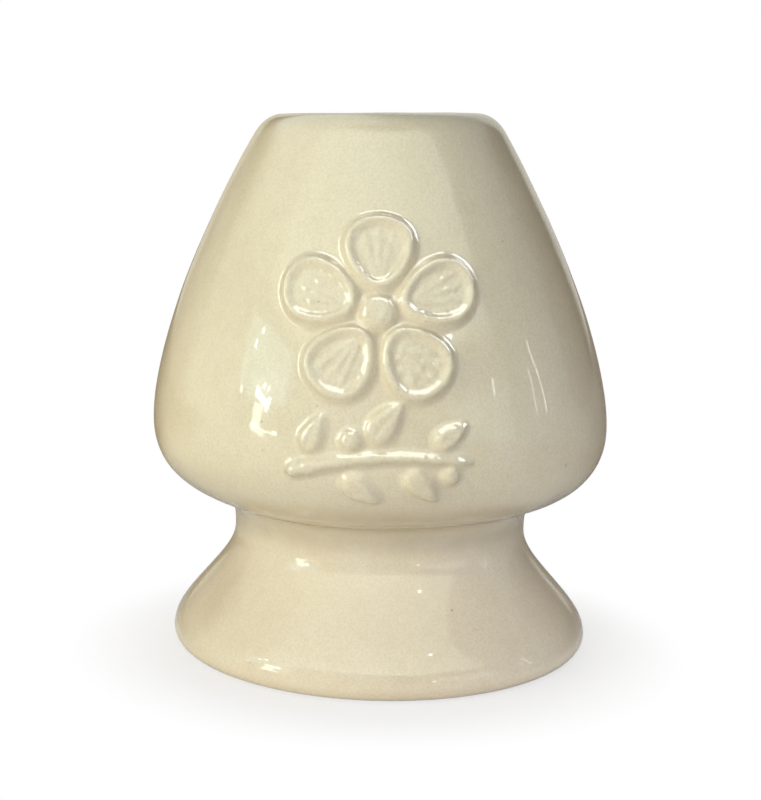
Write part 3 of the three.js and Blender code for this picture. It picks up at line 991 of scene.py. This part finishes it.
def glaze_group():
    """Colour, roughness and height of the glaze, with its drift of tone, mottling, pooling with painted
    shade, running off edges with a painted highlight, and specks
    """
    name = "ivory_glaze_surface"
    if name in bpy.data.node_groups:
        return bpy.data.node_groups[name]
    group = bpy.data.node_groups.new(name, "ShaderNodeTree")
    sockets = [(label, "INPUT", "Color") for label in GLAZE_COLOURS]
    sockets += [(label, "INPUT", "Float") for label in GLAZE_AMOUNTS]
    sockets += [("Color", "OUTPUT", "Color")]
    sockets += [(label, "OUTPUT", "Float") for label in ("Roughness", "Height")]
    for label, side, kind in sockets:
        group.interface.new_socket(label, in_out=side, socket_type=f"NodeSocket{kind}")
    given = add_node(group, "NodeGroupInput").outputs
    place = object_place(group)
    pool = add_node(group, "ShaderNodeAttribute", attribute_name="glaze_pool").outputs["Fac"]

    def scaled(value, effect):
        return math_node(group, "MULTIPLY", value, EFFECTS[effect])

    drift = noise(group, place, "drift")
    clouds = scaled(noise(group, place, "clouds"), "clouds")
    uneven = math_node(group, "ADD", clouds, noise(group, place, "mottle"))
    uneven = math_node(group, "MULTIPLY", uneven, given["Mottling"])
    drifted = math_node(group, "ADD", scaled(drift, "drift"), uneven)
    # Painted shade where the glaze pools, and a painted highlight where it runs off edges
    deep = math_node(group, "ADD", ranged(group, pool, *DEEP_AND_SHADE_RANGE),
                     math_node(group, "MAXIMUM", drifted, 0), clamp=True)
    thin = math_node(group, "SUBTRACT", ranged(group, pool, *THIN_AND_HIGHLIGHT_RANGE),
                     math_node(group, "MINIMUM", drifted, 0), clamp=True)
    height = math_node(group, "ADD", split(group, place)["Z"], scaled(drift, "drift_height"))
    tone = mixed(group, ranged(group, height, *LOW_RANGE), given["Low"], given["Glaze"])
    tone = mixed(group, deep, tone, given["Deep"])
    tone = mixed(group, thin, tone, given["Thin"])
    tone = mixed(group, noise(group, place, "grain"), tone, given["Deep"])
    fine = scaled(dots(group, place, "fine"), "fine")
    specks = math_node(group, "MAXIMUM", dots(group, place, "coarse"), fine)
    specks = math_node(group, "MULTIPLY", specks, given["Specks"])
    rough = math_node(group, "ADD", noise(group, place, "gloss"), scaled(specks, "speck_rough"))
    peel = math_node(group, "MULTIPLY", noise(group, place, "peel"), given["Peel"])
    swollen = math_node(group, "ADD", peel, noise(group, place, "swell"))
    pits = scaled(dots(group, place, "pits"), "pits")
    add_node(group, "NodeGroupOutput", inputs={
        "Color": mixed(group, specks, tone, given["Speck"]),
        "Roughness": rough,
        "Height": math_node(group, "SUBTRACT", swollen, pits),
    })
    return group


def glaze_material(name, glaze, amounts=GLAZE_AMOUNTS, bare_ring=False):
    """Clear glossy glaze over ivory: the colour is in the body, the gloss in the coat"""
    material = bpy.data.materials.new(name)
    material.use_nodes = True
    tree = material.node_tree
    colours = {label: tuple(getattr(glaze, label.lower())) for label in GLAZE_COLOURS}
    surface = add_node(tree, "ShaderNodeGroup", node_tree=glaze_group(), inputs={
        **colours, **amounts,
    }).outputs
    bump = add_node(tree, "ShaderNodeBump", inputs={
        "Strength": 0.5, "Distance": 0.0001, "Height": surface["Height"],
    })
    coat, colour, rough = 1.0, surface["Color"], surface["Roughness"]
    if bare_ring:
        bare = bare_clay_mask(tree)
        darker, paler = (tuple(min(1, tone * part) for part in glaze.clay) for tone in CLAY_TONES)
        clay = mixed(tree, noise(tree, object_place(tree), "clay"), darker, paler)
        coat = math_node(tree, "SUBTRACT", 1.0, bare)
        colour = mixed(tree, bare, colour, clay)
        rough = math_node(tree, "ADD", rough, math_node(tree, "MULTIPLY", bare, CLAY_ROUGH))
    for label, value in (
        ("Base Color", colour), ("Roughness", rough), ("Normal", bump.outputs["Normal"]), ("IOR", 1.5),
        ("Specular IOR Level", 0.35), ("Coat Weight", coat), ("Coat IOR", 1.5), ("Coat Roughness", 0.035),
    ):
        feed(tree, tree.nodes["Principled BSDF"].inputs[label], value)
    return material


def bare_clay_mask(tree):
    """1 on the ring that the pot stands on, where the glaze was wiped off unevenly"""
    place = object_place(tree)
    wave = noise(tree, place, "wiped")
    border = math_node(tree, "MULTIPLY_ADD", wave, WIPED["wave"], WIPED["height"])
    over = math_node(tree, "SUBTRACT", border, split(tree, place)["Z"])
    return ranged(tree, over, 0, WIPED["border"])


# Studio. Its lengths are in metres

POT_MIDDLE = (0, 0, 0.035)
PLAIN_TINT = (1.0, 1.0, 1.0)
COOL_TINT = (0.96, 1.0, 1.0)
OVAL_TINT = (0.93, 0.98, 1.0)
PAIR_TINT = (0.88, 0.97, 1.0)
SLIT_TINT = (0.95, 1.0, 0.95)

# Lamps a metre away from the middle of the pot. Each row holds the name, the azimuth from the front and
# the elevation in degrees, the width and height, the radiance, the tint and, if there is any, the roll
SOFT_SIZE = (0.6, 0.6)
SOFT_LAMPS = (
    ("front", -13, 17, SOFT_SIZE, 4.85, (0.66, 0.75, 1.0)),
    ("left", -45, 15, SOFT_SIZE, 3.11, (1.0, 0.865, 0.56)),
    ("top_front", 0, 50, SOFT_SIZE, 0.9, (0.97, 0.95, 0.7)),
    ("rear_left", -155, 25, SOFT_SIZE, 0.45, PLAIN_TINT),
    ("rear_right", 155, 25, SOFT_SIZE, 0.8, PLAIN_TINT),
    ("rear", 180, 12, SOFT_SIZE, 3.9, (1.0, 0.98, 0.93)),
)
MIRRORED_LAMPS = (
    ("window", -61.5, 18, (0.5, 0.22), 1.5, (0.55, 1.0, 0.93)),
    ("pane", -62.2, 6.0, (0.105, 0.16), 6.3, (0.75, 1.0, 0.8)),
    ("pane_foot", -60.8, 1.0, (0.19, 0.06), 6, (0.78, 1.0, 0.82), -16),
    ("pane_tail", -53.6, 0.6, (0.09, 0.018), 7, (0.85, 1.0, 0.9)),
    ("hook_top", -61.4, 12.4, (0.14, 0.036), 13, COOL_TINT, -16),
    ("hook_side", -56, 11, (0.042, 0.08), 13, COOL_TINT, -10),
    ("oval_high", -67.6, 22.6, (0.024, 0.02), 16, OVAL_TINT),
    ("oval_low", -70.2, 19.8, (0.024, 0.019), 16, OVAL_TINT),
    ("pair_left", -60.9, 14.9, (0.028, 0.015), 13, PAIR_TINT),
    ("pair_right", -57.6, 14.8, (0.028, 0.015), 13, PAIR_TINT),
    ("spark_left", -74, 11.4, (0.022, 0.022), 10, (1.0, 1.0, 0.9)),
    ("spark_low", -50.2, 1, (0.035, 0.03), 11, PLAIN_TINT),
    ("slit_far", 89.8, 12.3, (0.015, 0.25), 4.6, SLIT_TINT, 12),
    ("slit_near", 84.6, 10.5, (0.014, 0.16), 4.2, SLIT_TINT),
    ("slit_faint", 59.2, 16.7, (0.018, 0.07), 6, (0.9, 1.0, 0.95)),
    ("strip_front", 12.5, 29, (0.06, 0.02), 7, PLAIN_TINT),
    ("low_right", 30.3, 1.8, (0.035, 0.09), 9, (0.93, 1.0, 0.97)),
)

# Windows that only the relief's ridges mirror, in rows of the same kind
GLINT_LAMPS = (
    ("glint_above", 8, 84, (0.8, 0.5), 6, (1.0, 1.0, 0.98)),
    ("glint_right", 112, 42, (0.6, 0.6), 7, (0.96, 0.99, 1.0)),
    ("glint_left", -80, 18, (0.3, 0.5), 6, (0.98, 1.0, 0.95)),
)

# Lamps close to the foot. Each row holds the name, the place, the aim, the width and height, the radiance,
# the tint, the roll, the spread in degrees and whether the glaze mirrors it
NEAR_LAMPS = (
    ("table_right", (0.124, -0.066, 0.008), POT_MIDDLE, (0.05, 0.05), 3.5, (0.9, 0.88, 1.0), 0, 180, False),
    ("card_right", (0.085, -0.045, 0.040), (0.020, -0.014, 0.011), (0.03, 0.03), 0.37, (0.6, 0.72, 1.0),
     0, 46, False),
    ("table_left", (-0.080, -0.020, 0.004), (-0.026, -0.002, 0.030), (0.03, 0.03), 0.32, (1.0, 0.92, 0.75),
     0, 34, False),
    ("spark_foot", (0.039, -0.062, 0.072), (0.006, -0.019, 0.013), (0.003, 0.003), 14, OVAL_TINT,
     0, 180, True),
)

# What a mirror would show of the room. Each row holds the name, the azimuth from the front, half of the
# width, the lowest and highest elevation and the width of the soft border, all in degrees, and the light
ROOM_PATCHES = (
    ("behind right", 167, 19, -20, 33, 5, (0.62, 0.60, 0.53)),
    ("behind left", -165, 16, -20, 33, 5, (0.66, 0.61, 0.48)),
    ("rear left", -132, 19, -20, 33, 9, (0.42, 0.34, 0.27)),
    ("left", -96, 20, -20, 33, 7, (0.66, 0.68, 0.53)),
    ("rear right", 132, 19, -20, 33, 9, (0.13, 0.09, 0.06)),
    ("right", 95, 20, -20, 33, 9, (0.28, 0.31, 0.30)),
    ("front right", 52, 17, -2, 16, 7, (0.75, 0.90, 0.92)),
    ("shelf left", -145, 22, 16, 31, 6, (0.16, 0.10, 0.05)),
    ("upper left", -130, 60, 30, 91, 10, (0.92, 1.0, 0.95)),
    ("upper right", 125, 60, 30, 91, 10, (0.30, 0.34, 0.34)),
    ("upper front", -3, 69, 27, 67, 4, (1.3, 1.5, 1.3)),
)
ROOM_DARK = (0.04, 0.04, 0.035)
WHITE = (1, 1, 1)

# The floor: where its colour and its white change, by the distance from the pot's middle. Its colour is
# painted paler under the pot, so that it throws more light on the foot's lower edge
FLOOR_RADIUS = 2.0
FLOOR_STEPS = 96
CONTACT = {"far": 0.045, "near": 0.034, "away": (0.69, 0.665, 0.64), "under": (0.93, 0.90, 0.86)}
BACKDROP = {"near": 0.026, "far": 0.043, "least": 0.68}

# What the glaze mirrors of the floor: left and right in front, and left and right behind
FLOOR_AHEAD = ((0.58, 0.52, 0.43), (0.16, 0.12, 0.09))
FLOOR_BEHIND = ((0.26, 0.20, 0.13), (0.24, 0.20, 0.16))
FLOOR_BORDERS = {"side": (-0.15, 0.15), "back": (0.02, 0.12), "mirrored": (0.05, 0.09)}


def look_along(place, forward, roll):
    """The matrix of a camera or lamp that looks along a direction, with its right side raised by roll"""
    turn = Vector(forward).normalized().to_track_quat("-Z", "Y").to_matrix()
    return Matrix.Translation(place) @ (turn @ Matrix.Rotation(roll, 3, "Z")).to_4x4()


def make_camera(studio):
    """The camera at the photograph's place"""
    data = bpy.data.cameras.new("holder_camera")
    data.sensor_width = 36
    data.lens = studio.lens
    data.clip_start = 0.01
    data.clip_end = 20
    camera = placed("holder_camera", data)
    level = math.cos(studio.pitch)
    ahead = (-math.sin(studio.yaw) * level, math.cos(studio.yaw) * level, -math.sin(studio.pitch))
    camera.matrix_world = look_along((0, -studio.distance, studio.height), ahead, studio.roll)
    bpy.context.scene.camera = camera


def make_lamp(name, place, aim, size, radiance, tint, roll=0, spread=180, mirrored=True):
    """An oblong lamp that faces its aim. Its brightness is the radiance that a mirror would show, so its
    power follows its size"""
    data = bpy.data.lights.new(name, "AREA")
    data.shape = "RECTANGLE"
    data.size, data.size_y = size
    data.energy = radiance * data.size * data.size_y * math.pi
    data.color = tint
    data.spread = math.radians(spread)
    lamp = placed(name, data)
    place = Vector(place)
    lamp.matrix_world = look_along(place, Vector(aim) - place, math.radians(roll))
    lamp.visible_camera = False
    lamp.visible_glossy = mirrored
    return lamp


def make_panel(name, azimuth, elevation, *look, mirrored=True):
    """A lamp at an azimuth and elevation, a metre away from the middle of the pot"""
    a, e = math.radians(azimuth), math.radians(elevation)
    toward = Vector((math.sin(a) * math.cos(e), -math.cos(a) * math.cos(e), math.sin(e)))
    return make_lamp(name, Vector(POT_MIDDLE) + toward, POT_MIDDLE, *look, mirrored=mirrored)


def relief_collection():
    """The pieces of the relief, for the lamps that shine on them alone"""
    name = "relief_pieces"
    return bpy.data.collections.get(name) or bpy.data.collections.new(name)


def make_lamps(studio):
    """Broad soft lamps that the glaze does not mirror, the small lamps and panes that it does, and
    the light that the table throws on the foot"""
    for *place, radiance, tint in SOFT_LAMPS:
        make_panel(*place, radiance * studio.key, tint, mirrored=False)
    for entry in MIRRORED_LAMPS:
        make_panel(*entry)
    for entry in NEAR_LAMPS:
        make_lamp(*entry)
    for entry in GLINT_LAMPS:
        lamp = make_panel(*entry)
        lamp.visible_diffuse = False
        lamp.light_linking.receiver_collection = relief_collection()


def within(tree, value, low, high, soft):
    """1 from a low to a high value, with a soft border at each"""
    above = ranged(tree, value, low - soft / 2, low + soft / 2)
    below = ranged(tree, value, high + soft / 2, high - soft / 2)
    return math_node(tree, "MULTIPLY", above, below)


def make_world(studio):
    """White to the camera, a mirrored room to the glaze, and an even fill to everything else"""
    world = bpy.data.worlds.new("holder_room")
    bpy.context.scene.world = world
    world.use_nodes = True
    tree = world.node_tree
    x, y, z = split(tree, add_node(tree, "ShaderNodeTexCoord").outputs["Generated"])
    ahead = math_node(tree, "MULTIPLY", y, -1.0)
    degree = math.pi / 180
    azimuth = math_node(tree, "DIVIDE", math_node(tree, "ARCTAN2", x, ahead), degree)
    elevation = math_node(tree, "DIVIDE", math_node(tree, "ARCSINE", z), degree)
    mirrored = ROOM_DARK
    for name, middle, half, low, high, soft, light in ROOM_PATCHES:
        across = math_node(tree, "WRAP", math_node(tree, "SUBTRACT", azimuth, middle), 180, -180)
        away = math_node(tree, "ABSOLUTE", across)
        beside = ranged(tree, away, half + soft / 2, half - soft / 2)
        patch = math_node(tree, "MULTIPLY", beside, within(tree, elevation, low, high, soft))
        mirrored = mixed(tree, patch, mirrored, light)
        mirrored.node.label = name
    path = add_node(tree, "ShaderNodeLightPath").outputs
    seen = mixed(tree, path["Is Glossy Ray"], (studio.fill, studio.fill, studio.fill), mirrored)
    seen = mixed(tree, path["Is Camera Ray"], seen, WHITE)
    seen = mixed(tree, path["Is Transmission Ray"], seen, WHITE)
    feed(tree, tree.nodes["Background"].inputs["Color"], seen)


def floor_material():
    """Pale where the pot stands, where its colour is painted paler to throw more light on the foot, and
    white away from it. The glaze mirrors a dimmer table further out
    """
    material = bpy.data.materials.new("pale_floor")
    material.use_nodes = True
    tree = material.node_tree
    tree.nodes.clear()
    place = object_place(tree)
    far = add_node(tree, "ShaderNodeVectorMath", operation="LENGTH", inputs={0: place}).outputs["Value"]
    x, y, _ = split(tree, place)
    path = add_node(tree, "ShaderNodeLightPath").outputs
    # Painted paler under the pot, to throw more light on the foot's lower edge
    near = ranged(tree, far, CONTACT["far"], CONTACT["near"])
    plain = add_node(tree, "ShaderNodeBsdfDiffuse", inputs={
        "Color": mixed(tree, near, CONTACT["away"], CONTACT["under"]),
    }).outputs[0]
    white = add_node(tree, "ShaderNodeEmission", inputs={"Color": WHITE, "Strength": 1.0}).outputs[0]
    share_white = ranged(tree, far, BACKDROP["near"], BACKDROP["far"], BACKDROP["least"], 1.0)
    share_white = math_node(tree, "MULTIPLY", share_white, path["Is Camera Ray"])
    rightward = ranged(tree, x, *FLOOR_BORDERS["side"])
    backward = ranged(tree, y, *FLOOR_BORDERS["back"])
    ahead, behind = (mixed(tree, rightward, *pair) for pair in (FLOOR_AHEAD, FLOOR_BEHIND))
    dim = add_node(tree, "ShaderNodeEmission", inputs={
        "Color": mixed(tree, backward, ahead, behind), "Strength": 1.0,
    }).outputs[0]
    share_dim = ranged(tree, far, *FLOOR_BORDERS["mirrored"])
    share_dim = math_node(tree, "MULTIPLY", share_dim, path["Is Glossy Ray"])
    both = mixed_shader(tree, share_white, plain, white)
    shown = mixed_shader(tree, share_dim, both, dim)
    add_node(tree, "ShaderNodeOutputMaterial", inputs={"Surface": shown})
    return material


def make_floor():
    """A plain pale floor, which fades to the backdrop's white away from the pot"""
    turns = np.arange(FLOOR_STEPS) * 2 * math.pi / FLOOR_STEPS
    rim = np.stack([FLOOR_RADIUS * np.cos(turns), FLOOR_RADIUS * np.sin(turns), 0 * turns], axis=1)
    mesh = bpy.data.meshes.new("studio_floor")
    mesh.from_pydata(rim.tolist(), [], [list(range(FLOOR_STEPS))])
    mesh.materials.append(floor_material())
    floor = placed("studio_floor", mesh)


# Operators

class HOLDER_OT_foot(bpy.types.Operator):
    """Make the flared foot with its bare ring"""

    bl_idname = "holder.foot"
    bl_label = "Foot"

    def execute(self, context):
        scene = context.scene
        material = glaze_material("foot_glaze", scene.holder_glaze, bare_ring=True)
        foot_piece(lengths_of(scene.holder_throwing), material)
        return {"FINISHED"}


class HOLDER_OT_bulb(bpy.types.Operator):
    """Make the hollow bulb with its mouth"""

    bl_idname = "holder.bulb"
    bl_label = "Bulb"

    def execute(self, context):
        scene = context.scene
        material = glaze_material("bulb_glaze", scene.holder_glaze)
        bulb_piece(lengths_of(scene.holder_throwing), material)
        return {"FINISHED"}


def make_sprigs(scene, group):
    """The sprigs of one group, cut from the relief's skin"""
    sheet = ReliefSheet(lengths_of(scene.holder_throwing), lengths_of(scene.holder_relief))
    name = "relief_glaze"
    amounts = {**GLAZE_AMOUNTS, "Peel": RELIEF_PEEL}
    material = bpy.data.materials.get(name) or glaze_material(name, scene.holder_glaze, amounts)
    for number, sprig in enumerate(sheet.sprigs):
        if sprig.name.startswith(group):
            sheet.piece(number, material)


class HOLDER_OT_blossom(bpy.types.Operator):
    """Make the blossom's petals and heart"""

    bl_idname = "holder.blossom"
    bl_label = "Blossom"

    def execute(self, context):
        make_sprigs(context.scene, "blossom")
        return {"FINISHED"}


class HOLDER_OT_twig(bpy.types.Operator):
    """Make the twig's stem, leaves and buds"""

    bl_idname = "holder.twig"
    bl_label = "Twig"

    def execute(self, context):
        make_sprigs(context.scene, "twig")
        return {"FINISHED"}


class HOLDER_OT_stage(bpy.types.Operator):
    """Make the camera, the lamps, the room and the floor"""

    bl_idname = "holder.stage"
    bl_label = "Stage"

    def execute(self, context):
        studio = context.scene.holder_studio
        context.scene.view_settings.view_transform = "Standard"
        make_camera(studio)
        make_world(studio)
        make_lamps(studio)
        make_floor()
        return {"FINISHED"}


class HOLDER_PT_panel(bpy.types.Panel):
    """Lists the pieces and their settings"""

    bl_label = "Whisk holder"
    bl_space_type = "VIEW_3D"
    bl_region_type = "UI"
    bl_category = "Whisk holder"

    def draw(self, context):
        for operator in OPERATORS:
            self.layout.operator(operator.bl_idname)
        for name in SETTINGS:
            settings = getattr(context.scene, name)
            box = self.layout.box()
            box.label(text=settings.bl_rna.name)
            for prop in setting_names(settings):
                box.prop(settings, prop)


OPERATORS = (HOLDER_OT_stage, HOLDER_OT_foot, HOLDER_OT_bulb, HOLDER_OT_blossom, HOLDER_OT_twig)
CLASSES = (*SETTINGS.values(), *OPERATORS, HOLDER_PT_panel)


def register():
    """Registers the classes and hangs the settings on the scene"""
    for entry in CLASSES:
        bpy.utils.register_class(entry)
    for name, group in SETTINGS.items():
        setattr(bpy.types.Scene, name, PointerProperty(type=group))


def unregister():
    """Takes the settings and the classes away again"""
    for name in SETTINGS:
        delattr(bpy.types.Scene, name)
    for entry in reversed(CLASSES):
        bpy.utils.unregister_class(entry)


def main():
    """Builds the holder in its studio"""
    register()
    bpy.ops.holder.stage()
    bpy.ops.holder.foot()
    bpy.ops.holder.bulb()
    bpy.ops.holder.blossom()
    bpy.ops.holder.twig()


if __name__ == "__main__":
    main()
